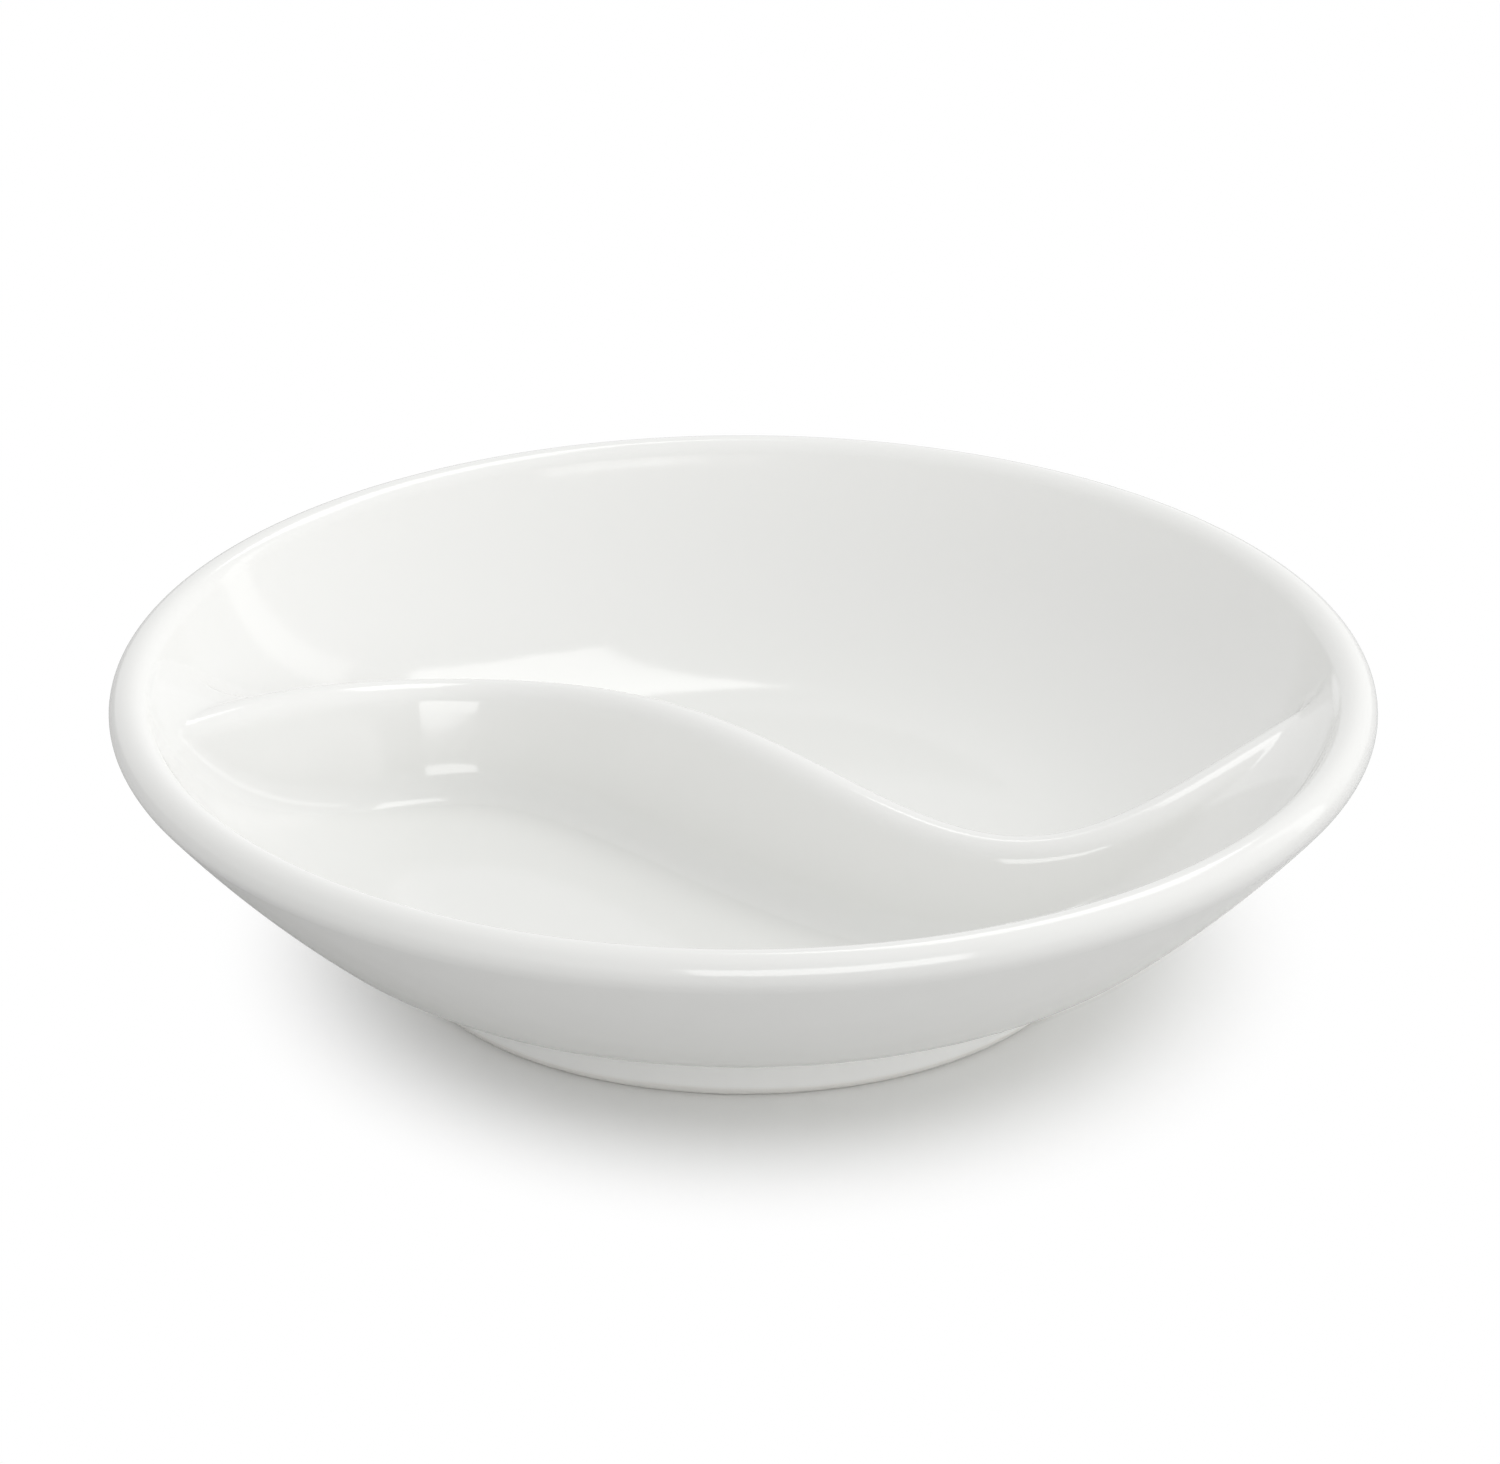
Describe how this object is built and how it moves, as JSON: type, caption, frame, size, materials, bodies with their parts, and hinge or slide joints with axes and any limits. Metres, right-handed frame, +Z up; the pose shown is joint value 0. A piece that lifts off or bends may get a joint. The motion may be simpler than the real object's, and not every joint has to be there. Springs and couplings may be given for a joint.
{
  "type": "divided sauce dish",
  "caption": "Round shallow white glazed dish on a low foot ring, parted into comma-shaped sauce wells by a raised S-curved divider.",
  "frame": {"origin": "centre of the circle that the foot ring stands on, at table height", "axes": "+Z up along the dish's axis; +X to the right in the picture, along the line between the divider's two ends; -Y towards the camera"},
  "size_m": [0.1, 0.1, 0.023],
  "materials": {
    "porcelain_glaze": "gloss",
    "foot_porcelain": "gloss"
  },
  "bodies": {
    "root": {"bowl": "porcelain_glaze", "divider": "porcelain_glaze", "foot_ring": "foot_porcelain"}
  },
  "joints": []
}
